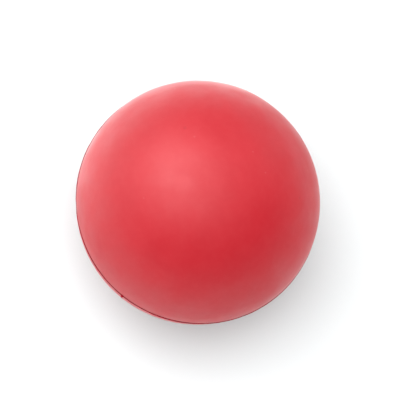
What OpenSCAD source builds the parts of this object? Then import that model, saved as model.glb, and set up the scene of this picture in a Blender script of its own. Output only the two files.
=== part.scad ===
// Round foam stress ball.
// The ball is moulded in one shot from self-skinning flexible foam in a two-part mould.
// Each mould half leaves a coating film and a dense skin half; both are bonded to one foam core.
// Flash trimmed close to the ball and a trimmed vent stub stand in the parting groove at the equator.
// Origin: centre of the ball. +Z runs along the direction in which the mould opens.

/* [Ball] */
// Outside diameter of the finished ball
ball_d = 63; // [50:0.5:75]
// Thickness of the soft-touch coating film
coat_t = 0.2; // [0.15:0.05:0.4]
// Thickness of the dense skin under the coating
skin_t = 1.6; // [1.2:0.1:3]
// How much smaller in radius the lower mould half is, which leaves a small step at the parting line
lower_step = 0.2; // [0:0.05:0.25]

/* [Parting line] */
// Thickness of the flash fin left between the mould halves
flash_t = 0.3; // [0.2:0.05:0.5]
// Depth of the seat in which the flash fin stands, from the ball surface
flash_seat = 0.9; // [0.8:0.05:1]
// How far the trimmed edge of the fin stands out of the upper half's surface
flash_proud = 0.15; // [0:0.05:0.3]
// Size of the bevel along each edge of the parting groove
edge_bevel = 0.2; // [0.1:0.05:0.4]

/* [Vent stub] */
// Diameter of the trimmed vent stub
vent_d = 0.8; // [0.6:0.1:1.6]
// How far the stub stands out of the ball surface
vent_proud = 0.35; // [0.2:0.05:0.8]
// Direction of the stub round the ball, anticlockwise from +X
vent_angle = -62; // [-78:1:-12]

/* [Colours] */
// Colour of the soft-touch coating
coat_colour = "#D8343F"; // [#D8343F:red, #2F6FB7:blue, #3D9A4A:green, #F2C230:yellow]
// Colour of the foam and its skin
foam_colour = "#D9525A"; // [#D9525A:red, #F1E7D2:natural]
// Colour of the trimmed flash
flash_colour = "#A8303A"; // [#A8303A:dark red, #3A3A3A:grey]

/* [Hidden] */
$fn = 180;
// Gap that keeps the flash fin, the stub and the core clear of their seats
fit_gap = 0.03;
ball_r = ball_d / 2;
skin_r = ball_r - coat_t;
core_r = skin_r - skin_t;
lower_r = ball_r - lower_step;
seat_r = ball_r - flash_seat;
flash_r = ball_r + flash_proud;
slot_half = flash_t / 2 + fit_gap;
// The stub is rooted a little deeper than the flash fin, still inside the skin
vent_root_r = seat_r - 0.2;
big = 2 * ball_d;

// Half space above the parting plane, for side = 1, or below it, for side = -1
module half_space(side) {
    translate([0, 0, side * big / 2])
        cube([big, big, big], center = true);
}

// Ball surface of one half, inset by a depth; the lower half is smaller and sits lower by the step
module half_ball(side, inset) {
    drop = side < 0 ? lower_step : 0;
    translate([0, 0, -drop])
        sphere(r = ball_r - drop - inset);
}

// Parting groove: the slot for the flash fin, opened at the surface by a bevel each way
module parting_groove() {
    rotate_extrude()
        polygon([
            [seat_r, -slot_half],
            [lower_r - edge_bevel, -slot_half],
            [lower_r + edge_bevel, -slot_half - 2 * edge_bevel],
            [ball_r + edge_bevel, -slot_half - 2 * edge_bevel],
            [ball_r + edge_bevel, slot_half + 2 * edge_bevel],
            [ball_r - edge_bevel, slot_half],
            [seat_r, slot_half]
        ]);
}

// Round bar along the vent channel, starting at distance `from` and ending at `to`
module vent_bar(d, from, to) {
    rotate([0, 0, vent_angle])
        translate([from, 0, 0])
            rotate([0, 90, 0])
                cylinder(h = to - from, d = d, $fn = 48);
}

// Seat of the vent stub
module vent_seat() {
    vent_bar(vent_d + 2 * fit_gap, vent_root_r, ball_r + 1);
}

// One half of the soft-touch coating film
module coat_half(side) {
    color(coat_colour)
        difference() {
            intersection() {
                difference() {
                    half_ball(side, 0);
                    half_ball(side, coat_t);
                }
                half_space(side);
            }
            parting_groove();
            vent_seat();
        }
}

// One half of the dense skin that forms against the mould
module skin_half(side) {
    color(foam_colour)
        difference() {
            intersection() {
                difference() {
                    half_ball(side, coat_t);
                    sphere(r = core_r);
                }
                half_space(side);
            }
            parting_groove();
            vent_seat();
        }
}

// Coating film from the upper mould half
module coat_upper() {
    coat_half(1);
}

// Coating film from the lower mould half
module coat_lower() {
    coat_half(-1);
}

// Dense skin from the upper mould half
module skin_upper() {
    skin_half(1);
}

// Dense skin from the lower mould half
module skin_lower() {
    skin_half(-1);
}

// Cellular foam that fills the ball in one piece
module foam_core() {
    color(foam_colour)
        sphere(r = core_r - fit_gap);
}

// Flash fin, trimmed to a blunt edge just clear of the ball surface
module parting_flash() {
    color(flash_colour)
        difference() {
            rotate_extrude()
                polygon([
                    [seat_r + fit_gap, -flash_t / 2],
                    [flash_r - flash_t / 3, -flash_t / 2],
                    [flash_r, -flash_t / 6],
                    [flash_r, flash_t / 6],
                    [flash_r - flash_t / 3, flash_t / 2],
                    [seat_r + fit_gap, flash_t / 2]
                ]);
            vent_seat();
        }
}

// Stub of foam from the air vent, cut off close to the surface
module vent_stub() {
    color(flash_colour)
        vent_bar(vent_d, vent_root_r + fit_gap, ball_r + vent_proud);
}

coat_upper();
coat_lower();
skin_upper();
skin_lower();
foam_core();
parting_flash();
vent_stub();
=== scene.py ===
"""Looks of the foam stress ball: coated foam halves, parting line, vent stub, floor, light and camera."""

import math

import bpy
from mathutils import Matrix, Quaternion, Vector, noise

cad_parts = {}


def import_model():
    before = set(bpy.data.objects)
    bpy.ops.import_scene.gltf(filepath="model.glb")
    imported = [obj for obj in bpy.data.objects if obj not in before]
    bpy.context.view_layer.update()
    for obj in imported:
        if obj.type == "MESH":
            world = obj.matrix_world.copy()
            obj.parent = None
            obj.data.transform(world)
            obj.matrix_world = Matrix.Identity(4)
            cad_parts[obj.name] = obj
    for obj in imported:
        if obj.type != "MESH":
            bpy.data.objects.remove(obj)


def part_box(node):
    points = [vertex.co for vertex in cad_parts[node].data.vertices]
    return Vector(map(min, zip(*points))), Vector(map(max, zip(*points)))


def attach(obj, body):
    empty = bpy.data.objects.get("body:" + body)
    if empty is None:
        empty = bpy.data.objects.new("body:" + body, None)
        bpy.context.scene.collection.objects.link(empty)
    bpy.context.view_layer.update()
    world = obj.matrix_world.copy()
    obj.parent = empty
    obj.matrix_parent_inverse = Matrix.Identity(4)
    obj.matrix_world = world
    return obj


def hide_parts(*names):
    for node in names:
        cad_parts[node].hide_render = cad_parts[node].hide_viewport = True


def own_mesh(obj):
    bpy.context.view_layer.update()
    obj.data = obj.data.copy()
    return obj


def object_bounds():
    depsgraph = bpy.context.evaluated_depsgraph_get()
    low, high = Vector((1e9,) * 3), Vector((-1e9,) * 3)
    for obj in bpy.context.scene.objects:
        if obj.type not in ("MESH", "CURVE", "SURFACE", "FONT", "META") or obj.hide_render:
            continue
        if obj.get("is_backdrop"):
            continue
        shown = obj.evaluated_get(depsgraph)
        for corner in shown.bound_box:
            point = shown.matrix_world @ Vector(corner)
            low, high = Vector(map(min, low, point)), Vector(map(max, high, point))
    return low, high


MM = 0.001
UP = Vector((0, 0, 1))
WHITE = (1, 1, 1, 1)

# Turned shapes: steps round the axis, and rows along the outline
SEGMENTS = 288
OUTER_ROWS = 84
INNER_ROWS = 24
LIP_ROWS = 10

# Moulded faces: dents and ripple, and the rounded lips on both sides of the parting groove
DENT_SIZE = 13 * MM
DENT_DEPTH = 0.045 * MM
RIPPLE_SIZE = 3.2 * MM
RIPPLE_DEPTH = 0.006 * MM
COAT_LIP_ROUND = 0.25 * MM
RIND_LIP_ROUND = 0.55 * MM
LIP_WANDER = 0.03 * MM
LIP_WANDER_SIZE = 4 * MM
LIP_WANDER_REACH = 1.2 * MM
LIP_WALL = 0.05 * MM
FIT_GAP = 0.03 * MM
CORE_PITS_SIZE = 2.5 * MM
CORE_PITS_DEPTH = 0.02 * MM

# Flash fin: how deep it reaches, the shape of its edge, and how it was cut back
FIN_DEPTH = 0.95 * MM
FIN_BEVEL = 0.6
FIN_EDGE = 0.3
FIN_TRIM_SIZE = 5 * MM
FIN_TRIM = 0.05 * MM
FIN_TEAR_SIZE = 0.9 * MM
FIN_TEAR = 0.035 * MM
FIN_NICK_SIZE = 2.2 * MM
FIN_NICK_RARITY = 0.45
FIN_NICK_DEPTH = 0.35 * MM

# Vent stub: rows and sides, its waist and rounded end as shares, and its torn end
NUB_ROWS, NUB_SIDES = 14, 28
NUB_WIDTH = 0.98
NUB_WAIST = 0.14
NUB_ROUND_FROM = 0.82
NUB_ROUND_OVER = 0.2
NUB_TEAR_SIZE = 0.35 * MM
NUB_TEAR = 0.08 * MM
NUB_SLANT = 0.12 * MM
NUB_SLANT_TURN = 0.7

# Where each piece takes its noise from; the two halves of a piece are one step to either side
COAT_SEED, RIND_SEED, CORE_SEED, FIN_SEED, NUB_SEED = 11, 31, 51, 61, 71

# Coating
COAT_DEEP = (0.615, 0.006, 0.018, 1)
COAT_LIGHT = (0.675, 0.009, 0.022, 1)
COAT_FLECK = (0.72, 0.05, 0.06, 1)
# Painted shade inside the pinholes: a darker red for the holes in the coating
COAT_PIT_SHADE = (0.30, 0.006, 0.012, 1)
COAT_LINT = (0.80, 0.42, 0.43, 1)
COAT_WORN = (0.36, 0.008, 0.016, 1)
# Painted shade on the rounded lip at the parting groove; COAT_LIP_FROM and COAT_LIP_TO are the distances
# from the parting plane over which it fades, and the wear starts at the same place
COAT_LIP_SHADE = (0.30, 0.003, 0.010, 1)
COAT_LIP_FROM, COAT_LIP_TO = 0.3 * MM, 0.7 * MM
COAT_WORN_TO = 1.5 * MM
COAT_ROUGH = 0.56
COAT_SHINE = 0.6
COAT_BLOOM = 0.22
COAT_BLOOM_ROUGH = 0.26

# Skin, core and flash
SKIN_DEEP = (0.60, 0.07, 0.08, 1)
SKIN_LIGHT = (0.70, 0.12, 0.13, 1)
CORE_WALL = (0.82, 0.24, 0.25, 1)
# Painted shade for the hollows of the foam's cells
CORE_HOLLOW_SHADE = (0.50, 0.07, 0.08, 1)
FLASH_CLEAN = (0.43, 0.007, 0.020, 1)
FLASH_GRIMY = (0.30, 0.006, 0.015, 1)

# Table: its paint, and its glow near the ball, which rises to 1 between these distances from the ball
FLOOR_HALF = 30.0
FLOOR_PAINT = (0.286, 0.295, 0.297, 1)
FLOOR_GLOW = 0.05
FLOOR_GLOW_FROM = 0.2
FLOOR_GLOW_TO = 0.9

# Lights: metres from the ball's centre
PANEL_DISTANCE = 3.0
TABLE_LIGHT_DISTANCE = 0.6
STRIP_DISTANCE = 0.09
STRIP_HEIGHT = 0.5 * MM

# Camera
VIEW_AZIMUTH = 30
VIEW_ELEVATION = 75.7
VIEW_ROLL = 37
VIEW_DISTANCE = 1.10
BALL_RADIUS_IN_VIEW = 0.612
BALL_RIGHT_OF_CENTRE = -0.0115
BALL_ABOVE_CENTRE = -0.0145
SENSOR_WIDTH = 36.0


# ---------------------------------------------------------------- mesh helpers


def mesh_object(name, verts, faces, smooth=True):
    """A new object in the scene from points and faces."""
    mesh = bpy.data.meshes.new(name)
    mesh.from_pydata([tuple(v) for v in verts], [], faces)
    mesh.update()
    if smooth:
        mesh.shade_smooth()
    else:
        mesh.shade_flat()
    obj = bpy.data.objects.new(name, mesh)
    bpy.context.scene.collection.objects.link(obj)
    return obj


def revolved(name, outline, segments, shape):
    """A closed solid turned about Z from a closed (r, z) outline, anticlockwise seen with r to the right.
    shape(point, index) moves each point once it is in place. A point on the axis becomes one vertex."""
    verts, rings = [], []
    for index, (r, z) in enumerate(outline):
        if r < 1e-7:
            rings.append([len(verts)])
            verts.append(shape(Vector((0, 0, z)), index))
            continue
        rings.append(list(range(len(verts), len(verts) + segments)))
        for k in range(segments):
            turn = 2 * math.pi * k / segments
            point = Vector((r * math.cos(turn), r * math.sin(turn), z))
            verts.append(shape(point, index))
    faces = []
    for index, ring in enumerate(rings):
        after = rings[(index + 1) % len(rings)]
        if len(ring) == 1 and len(after) == 1:
            continue
        for k in range(segments):
            n = (k + 1) % segments
            if len(ring) == 1:
                faces.append((ring[0], after[n], after[k]))
            elif len(after) == 1:
                faces.append((ring[k], ring[n], after[0]))
            else:
                faces.append((ring[k], ring[n], after[n], after[k]))
    return mesh_object(name, verts, faces)


def wave(point, size, seed):
    """Smooth noise from about -1 to 1 that changes over the given size."""
    return noise.noise(point / size + Vector((seed, 2 * seed, -seed)))


def arc(radius, start, end, rows):
    """Points (r, z) along a circle about the origin, angles in radians above the equator."""
    return [
        (radius * math.cos(a), radius * math.sin(a))
        for a in (start + (end - start) * i / rows for i in range(rows + 1))
    ]


# ---------------------------------------------------------------- the ball's pieces


def surface_relief(point, seed):
    """How far the moulded surface stands proud of a true ball here: slow dents and a faint ripple."""
    dents = wave(point, DENT_SIZE, seed) * DENT_DEPTH
    ripple = wave(point, RIPPLE_SIZE, seed + 7) * RIPPLE_DEPTH
    return dents + ripple


def dome(name, side, outer_r, inner_r, gap, lip_round, seed, relief=1.0, drop=0.0):
    """Half a ball shell as a closed solid: outer face, rounded lip at the parting groove, inner face.
    side is 1 above the parting plane and -1 below it. gap is the lip's distance from that plane, and
    drop is how far the centre of this half lies beyond the plane."""
    rise = gap - drop
    lip_z = rise + lip_round
    lip_centre_r = math.sqrt((outer_r - lip_round) ** 2 - lip_z**2)
    lip_top = math.atan2(lip_z, lip_centre_r)
    outer = arc(outer_r, math.pi / 2, lip_top, OUTER_ROWS)
    lip = []
    for i in range(1, LIP_ROWS + 1):
        a = lip_top - (lip_top + math.pi / 2) * i / LIP_ROWS
        lip.append((lip_centre_r + lip_round * math.cos(a), lip_z + lip_round * math.sin(a)))
    start_r = min(inner_r, lip_centre_r - LIP_WALL)
    inner = [(start_r, rise)] + arc(inner_r, math.asin(lip_z / inner_r), math.pi / 2, INNER_ROWS)
    outline = [(max(r, 0.0), z) for r, z in outer + lip + inner]
    outline[0] = (0.0, outer_r)
    outline[-1] = (0.0, inner_r)
    shown = len(outer) + len(lip)

    def shape(point, index):
        placed = Vector((point.x, point.y, (point.z + drop) * side))
        if index >= shown:
            return placed
        out = placed.normalized()
        near_line = max(0.0, 1 - abs(placed.z) / LIP_WANDER_REACH)
        moved = placed + out * surface_relief(placed, seed) * relief
        flat = Vector((placed.x, placed.y, 0))
        moved.z += side * near_line * LIP_WANDER * (1 + wave(flat, LIP_WANDER_SIZE, seed + 3))
        return moved

    obj = revolved(name, outline, SEGMENTS, shape)
    if side > 0:
        obj.data.flip_normals()
    return obj


def foam_ball(name, radius, seed):
    """The one-piece foam core: a whole ball with the uneven face that foam sets with."""
    outline = arc(radius, -math.pi / 2, math.pi / 2, 2 * INNER_ROWS)
    outline[0] = (0.0, -radius)
    outline[-1] = (0.0, radius)

    def shape(point, index):
        return point - point.normalized() * abs(wave(point, CORE_PITS_SIZE, seed)) * CORE_PITS_DEPTH

    return revolved(name, outline, SEGMENTS // 2, shape)


def flash_fin(name, inner_r, outer_r, half, seed):
    """The flash left in the parting groove, cut back by hand: its edge wanders, thins and has nicks."""
    crest = outer_r - FIN_BEVEL * half
    edge = FIN_EDGE * half
    outline = [(inner_r, -half), (crest, -half), (outer_r, -edge)]
    outline += [(outer_r, edge), (crest, half), (inner_r, half)]
    buried = (0, len(outline) - 1)

    def shape(point, index):
        if index in buried:
            return point
        out = Vector((point.x, point.y, 0)).normalized()
        trim = FIN_TRIM * wave(point, FIN_TRIM_SIZE, seed) + FIN_TEAR * wave(point, FIN_TEAR_SIZE, seed)
        nick = min(0.0, wave(point, FIN_NICK_SIZE, seed + 5) + FIN_NICK_RARITY) * FIN_NICK_DEPTH
        return point + out * (trim + nick)

    return revolved(name, outline, 4 * SEGMENTS, shape)


def vent_nub(name, low, high, seed):
    """The stub of foam in the air vent, torn off just above the surface: a waisted, slanting, ragged end."""
    centre = (low + high) / 2
    out = Vector((centre.x, centre.y, 0)).normalized()
    across = Vector((-out.y, out.x, 0))
    radius = (high.z - low.z) / 2
    along = [Vector((x, y, 0)).dot(out) for x in (low.x, high.x) for y in (low.y, high.y)]
    start, end = min(along) + radius / 2, max(along) - radius / 2
    verts, faces = [], []
    for i in range(NUB_ROWS + 1):
        share = i / NUB_ROWS
        size = radius * (NUB_WIDTH - NUB_WAIST * math.sin(math.pi * share))
        size *= math.sqrt(max(0.0, 1 - max(0.0, share - NUB_ROUND_FROM) ** 2 / NUB_ROUND_OVER**2))
        for k in range(NUB_SIDES):
            turn = 2 * math.pi * k / NUB_SIDES
            side = across * math.cos(turn) + UP * math.sin(turn)
            point = out * (start + (end - start) * share) + side * size
            ragged = wave(point, NUB_TEAR_SIZE, seed) * NUB_TEAR * share
            slant = NUB_SLANT * math.cos(turn - NUB_SLANT_TURN) * share
            verts.append(point + side * ragged / 2 + out * (ragged + slant))
    base = len(verts)
    verts += [out * start, out * end]
    for i in range(NUB_ROWS):
        a, b = i * NUB_SIDES, (i + 1) * NUB_SIDES
        for k in range(NUB_SIDES):
            n = (k + 1) % NUB_SIDES
            faces.append((a + k, a + n, b + n, b + k))
    last = NUB_ROWS * NUB_SIDES
    for k in range(NUB_SIDES):
        n = (k + 1) % NUB_SIDES
        faces.append((base, n, k))
        faces.append((base + 1, last + k, last + n))
    return mesh_object(name, verts, faces)


# ---------------------------------------------------------------- materials


class Nodes:
    """A material's node tree, with short calls for the nodes used here. Texture scales are per metre."""

    def __init__(self, name):
        self.material = bpy.data.materials.new(name)
        self.material.use_nodes = True
        self.tree = self.material.node_tree
        self.shader = self.tree.nodes["Principled BSDF"]
        self.place = self.tree.nodes.new("ShaderNodeTexCoord").outputs["Object"]

    def add(self, kind, settings=None, **inputs):
        """A new node with its settings, and its inputs by name."""
        node = self.tree.nodes.new(kind)
        for key, value in (settings or {}).items():
            setattr(node, key, value)
        for key, value in inputs.items():
            self.feed(node.inputs[key.replace("_", " ")], value)
        return node

    def feed(self, socket, value):
        """Links a socket to another, or sets it to a constant."""
        if isinstance(value, bpy.types.NodeSocket):
            self.tree.links.new(value, socket)
        else:
            socket.default_value = value

    def noise(self, scale, detail=3.0, rough=0.5):
        """Cloudy noise from 0 to 1."""
        node = self.add("ShaderNodeTexNoise", Vector=self.place, Scale=scale, Detail=detail)
        node.inputs["Roughness"].default_value = rough
        return node.outputs["Fac"]

    def cells(self, scale, feature="F1"):
        """Voronoi cells."""
        return self.add("ShaderNodeTexVoronoi", {"feature": feature}, Vector=self.place, Scale=scale)

    def math(self, operation, a, b=0.0, c=0.0):
        """One step of arithmetic."""
        node = self.add("ShaderNodeMath", {"operation": operation})
        for socket, value in zip(node.inputs, (a, b, c)):
            self.feed(socket, value)
        return node.outputs[0]

    def span(self, value, low, high, to_low=0.0, to_high=1.0):
        """A smooth step from to_low at low to to_high at high."""
        node = self.add("ShaderNodeMapRange", {"interpolation_type": "SMOOTHSTEP"})
        for key, number in zip(
            ("Value", "From Min", "From Max", "To Min", "To Max"),
            (value, low, high, to_low, to_high),
        ):
            self.feed(node.inputs[key], number)
        return node.outputs[0]

    def blend(self, share, a, b):
        """Colour a, and as much of colour b as share says."""
        node = self.add("ShaderNodeMix", {"data_type": "RGBA"})
        for key, value in ((0, share), (6, a), (7, b)):
            self.feed(node.inputs[key], value)
        return node.outputs[2]

    def bump(self, height, depth, strength=1.0, under=None):
        """A normal from a height, on top of another normal if there is one."""
        node = self.add("ShaderNodeBump", Height=height, Distance=depth, Strength=strength)
        if under is not None:
            self.feed(node.inputs["Normal"], under)
        return node.outputs["Normal"]

    def set(self, **inputs):
        """Feeds the surface shader's inputs by name."""
        for key, value in inputs.items():
            self.feed(self.shader.inputs[key.replace("_", " ")], value)


def specks(nodes, scale, size, share):
    """1 in small round spots that sit in a few of the cells, 0 elsewhere."""
    found = nodes.cells(scale)
    spot = nodes.span(found.outputs["Distance"], size * 0.6, size, 1.0, 0.0)
    split = nodes.add("ShaderNodeSeparateColor", Color=found.outputs["Color"])
    chosen = nodes.math("GREATER_THAN", split.outputs[0], 1 - share)
    return nodes.math("MULTIPLY", spot, chosen)


def soft_touch_coat():
    """Matt red in-mould coating: rubbery, faintly uneven, with pinholes darkened by painted shade, lint,
    wear by the line, and painted shade on the lip where it rounds into the parting groove.
    """
    n = Nodes("soft_touch_coat")
    pits = specks(n, scale=260, size=0.15, share=0.05)
    lint = specks(n, scale=330, size=0.12, share=0.035)
    fleck = n.span(n.noise(620, detail=2), 0.35, 0.75)
    height = n.add("ShaderNodeSeparateXYZ", Vector=n.place).outputs["Z"]
    from_line = n.math("ABSOLUTE", height)
    # Painted shade at the groove lip: darkest within COAT_LIP_FROM of the parting plane, gone by COAT_LIP_TO
    lip = n.span(from_line, COAT_LIP_FROM, COAT_LIP_TO, 0.65, 0.0)
    near_line = n.span(from_line, COAT_LIP_FROM, COAT_WORN_TO, 1.0, 0.0)
    rubbed = n.math("MULTIPLY", near_line, n.span(n.noise(420), 0.45, 0.62))

    red = n.blend(n.noise(140, detail=4), COAT_DEEP, COAT_LIGHT)
    red = n.blend(n.math("MULTIPLY", fleck, 0.10), red, COAT_FLECK)
    # Pinholes get painted shade in their hollows here, and a real dent from the bump below
    red = n.blend(n.math("MULTIPLY", pits, 0.15), red, COAT_PIT_SHADE)
    red = n.blend(n.math("MULTIPLY", lint, 0.07), red, COAT_LINT)
    red = n.blend(n.math("MULTIPLY", rubbed, 0.35), red, COAT_WORN)
    # Lays the painted shade of the groove lip over everything else
    red = n.blend(lip, red, COAT_LIP_SHADE)

    rough = n.span(n.noise(160, detail=4), 0.3, 0.7, COAT_ROUGH - 0.05, COAT_ROUGH + 0.05)
    rough = n.math("ADD", rough, n.math("MULTIPLY", rubbed, -0.06))
    soft = n.bump(n.noise(340, detail=2), 0.05 * MM, strength=0.5)
    fine = n.bump(n.noise(1500, detail=2), 0.012 * MM, strength=0.6, under=soft)
    holes = n.bump(n.math("MULTIPLY", pits, -1.0), 0.03 * MM, strength=0.6, under=fine)
    n.set(Base_Color=red, Roughness=rough, Normal=holes)
    n.set(IOR=1.5, Specular_IOR_Level=COAT_SHINE)
    n.set(Sheen_Weight=COAT_BLOOM, Sheen_Roughness=COAT_BLOOM_ROUGH)
    return n.material


def dense_skin():
    """Tough, nearly closed skin of the foam: small shallow cells in a red rubbery face."""
    n = Nodes("dense_skin")
    cells = n.cells(1400).outputs["Distance"]
    tone = n.noise(260, detail=4)
    red = n.blend(tone, SKIN_DEEP, SKIN_LIGHT)
    n.set(Base_Color=red, Roughness=n.span(tone, 0.3, 0.7, 0.6, 0.75))
    n.set(Normal=n.bump(cells, 0.08 * MM, strength=0.7), IOR=1.48)
    return n.material


def core_foam():
    """Open flexible foam: round cells of mixed size, with painted shade darkening the cell hollows against
    the paler walls.
    """
    n = Nodes("core_foam")
    large = n.cells(1100, "DISTANCE_TO_EDGE").outputs["Distance"]
    small = n.cells(2600).outputs["Distance"]
    # Depth into each cell: it sets the painted shade in the hollows and the dent of the bump
    hollow_and_shade = n.span(large, 0.02, 0.16)
    red = n.blend(hollow_and_shade, CORE_WALL, CORE_HOLLOW_SHADE)
    deep = n.bump(hollow_and_shade, -0.25 * MM, strength=0.9)
    n.set(Base_Color=red, Roughness=n.span(small, 0.0, 0.6, 0.78, 0.92))
    n.set(Normal=n.bump(small, 0.06 * MM, strength=0.6, under=deep), IOR=1.45)
    return n.material


def cut_flash():
    """Trimmed edge of foam and coating at the parting line: dark red, rough and slightly torn."""
    n = Nodes("cut_flash")
    tear = n.noise(2400, detail=4, rough=0.7)
    grime = n.span(n.noise(500), 0.35, 0.7)
    red = n.blend(grime, FLASH_CLEAN, FLASH_GRIMY)
    n.set(Base_Color=red, Roughness=n.span(tear, 0.3, 0.7, 0.7, 0.9))
    n.set(Normal=n.bump(tear, 0.06 * MM, strength=0.9), IOR=1.45, Specular_IOR_Level=0.05)
    return n.material


def pale_floor():
    """Matt table top that glows a little by the ball and fully far from it, so that it is seen as white."""
    n = Nodes("pale_floor")
    reach = n.add("ShaderNodeVectorMath", {"operation": "LENGTH"}, Vector=n.place).outputs["Value"]
    glow = n.span(reach, FLOOR_GLOW_FROM, FLOOR_GLOW_TO, FLOOR_GLOW, 1.0)
    n.set(Base_Color=FLOOR_PAINT, Roughness=0.9, Specular_IOR_Level=0.1)
    n.set(Emission_Color=WHITE, Emission_Strength=glow)
    return n.material


def dress(obj, material):
    """Gives a piece its material."""
    obj.data.materials.append(material)
    return obj


# ---------------------------------------------------------------- studio and camera


def floor(level):
    """A wide plain floor at the ball's lowest point."""
    half = FLOOR_HALF
    corners = [(-half, -half, level), (half, -half, level), (half, half, level), (-half, half, level)]
    obj = mesh_object("floor", corners, [(0, 1, 2, 3)], smooth=False)
    obj.data.materials.append(pale_floor())
    obj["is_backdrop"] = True
    return obj


def direction(azimuth, elevation):
    """Unit vector towards a compass direction, in degrees anticlockwise from +X, and a height."""
    a, e = math.radians(azimuth), math.radians(elevation)
    return Vector((math.cos(a) * math.cos(e), math.sin(a) * math.cos(e), math.sin(e)))


def panel(name, azimuth, elevation, size, power, distance=PANEL_DISTANCE):
    """A soft light panel, width and height in size, that faces the ball from a direction in degrees."""
    light = bpy.data.lights.new(name, "AREA")
    light.shape = "RECTANGLE"
    light.size, light.size_y = size
    light.energy = power
    obj = bpy.data.objects.new(name, light)
    bpy.context.scene.collection.objects.link(obj)
    towards = direction(azimuth, elevation)
    obj.location = towards * distance
    obj.rotation_mode = "QUATERNION"
    obj.rotation_quaternion = towards.to_track_quat("Z", "Y")
    obj.visible_camera = False
    return obj


def flag_off(light, lit):
    """Flags a light off everything but one object, as a studio does with black card."""
    group = bpy.data.collections.new(light.name + "_lights")
    group.objects.link(lit)
    light.light_linking.receiver_collection = group


def room():
    """A plain white surround that is only seen, so that the panels do all the lighting."""
    world = bpy.data.worlds.new("room")
    world.use_nodes = True
    backdrop = world.node_tree.nodes["Background"]
    backdrop.inputs["Color"].default_value = WHITE
    backdrop.inputs["Strength"].default_value = 1.0
    bpy.context.scene.world = world
    seen = world.cycles_visibility
    seen.diffuse = seen.glossy = seen.transmission = False


def studio(table_top, level):
    """Soft panels round the ball, the strongest above it, and a white surround."""
    panel("top", 228, 64, size=(3.0, 3.0), power=70)
    panel("softbox", 200, 44, size=(2.6, 2.6), power=15)
    panel("left", 247, 20, size=(2.0, 2.0), power=3)
    panel("right", 104, 30, size=(2.6, 2.6), power=26)

    # The fill by the camera is not mirrored in the coating, and the gloss panel is nothing but mirrored
    front = panel("front", 15, 71, size=(3.0, 3.0), power=46)
    front.visible_glossy = False
    gloss = panel("gloss", 208, 51, size=(3.8, 3.8), power=110)
    gloss.visible_diffuse = False

    # A strip lying on the table, facing up, and only mirrored: it gives the ball's edge its pale rim
    strip = panel("strip", 201, 0, size=(0.1, 0.22), power=0.13, distance=STRIP_DISTANCE)
    strip.location.z = level + STRIP_HEIGHT
    strip.rotation_quaternion = Quaternion((1, 0, 0), math.pi)
    strip.visible_diffuse = False

    # Lights the table alone, which keeps the ball's red off it
    table = panel("table", 226, 73, size=(1.0, 1.0), power=24.2, distance=TABLE_LIGHT_DISTANCE)
    flag_off(table, table_top)
    room()


def camera(ball_r):
    """Long lens, nearly straight above the ball, framed so that the ball fills most of the height."""
    data = bpy.data.cameras.new("camera")
    obj = bpy.data.objects.new("camera", data)
    bpy.context.scene.collection.objects.link(obj)
    back = direction(VIEW_AZIMUTH - 90, VIEW_ELEVATION)
    outline_slope = ball_r / math.sqrt(VIEW_DISTANCE**2 - ball_r**2)
    data.sensor_width = SENSOR_WIDTH
    data.lens = SENSOR_WIDTH / 2 * BALL_RADIUS_IN_VIEW / outline_slope
    data.shift_x = -BALL_RIGHT_OF_CENTRE / 2
    data.shift_y = -BALL_ABOVE_CENTRE / 2
    data.clip_start, data.clip_end = 0.01, 100.0
    obj.location = back * VIEW_DISTANCE
    obj.rotation_mode = "QUATERNION"
    obj.rotation_quaternion = (-back).to_track_quat("-Z", "Y") @ Quaternion(UP, math.radians(VIEW_ROLL))
    bpy.context.scene.camera = obj


# ---------------------------------------------------------------- assembly


def build():
    """Loads the frame, puts every visible piece on its body, and sets the studio round it."""
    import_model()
    cad_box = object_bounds()
    ball_r = -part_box("coat_lower")[0].z
    skin_r = -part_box("skin_lower")[0].z
    core_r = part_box("foam_core")[1].z
    fin_low, fin_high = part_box("parting_flash")
    vent_low, vent_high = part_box("vent_stub")
    lower_drop = ball_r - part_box("coat_lower")[1].x
    fin_half = (fin_high.z - fin_low.z) / 2
    gap = fin_half + FIT_GAP

    coat, skin, foam, cut = soft_touch_coat(), dense_skin(), core_foam(), cut_flash()
    pieces = []
    for side, half, drop in ((1, "upper", 0.0), (-1, "lower", lower_drop)):
        coat_r, rind_r = ball_r - drop, skin_r - drop
        film = dome(
            f"coating_{half}", side, coat_r, rind_r, gap, COAT_LIP_ROUND, COAT_SEED + side, drop=drop,
        )
        rind = dome(
            f"rind_{half}", side, rind_r - FIT_GAP, core_r + 2 * FIT_GAP, gap, RIND_LIP_ROUND,
            RIND_SEED + side, relief=0.0, drop=drop,
        )
        body, pole = f"{half}_half", side * ball_r
        pieces.append((dress(film, coat), body, f"coat_{half}", pole))
        pieces.append((dress(rind, skin), body, f"skin_{half}", pole))
    core = foam_ball("core", core_r, CORE_SEED)
    pieces.append((dress(core, foam), "lower_half", "foam_core", -ball_r))
    fin = flash_fin("flash_fin", fin_high.x - FIN_DEPTH, fin_high.x, fin_half, FIN_SEED)
    pieces.append((dress(fin, cut), "parting_ring", "parting_flash", 0.0))
    nub = vent_nub("vent_nub", vent_low, vent_high, NUB_SEED)
    pieces.append((dress(nub, cut), "parting_ring", "vent_stub", 0.0))

    for obj, body, node, anchor in pieces:
        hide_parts(node)
        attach(obj, body)
        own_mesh(obj)

    studio(floor(-ball_r), -ball_r)
    camera(ball_r)
    bpy.context.scene.view_settings.view_transform = "Standard"
    return cad_box


CAD_BOX = build()
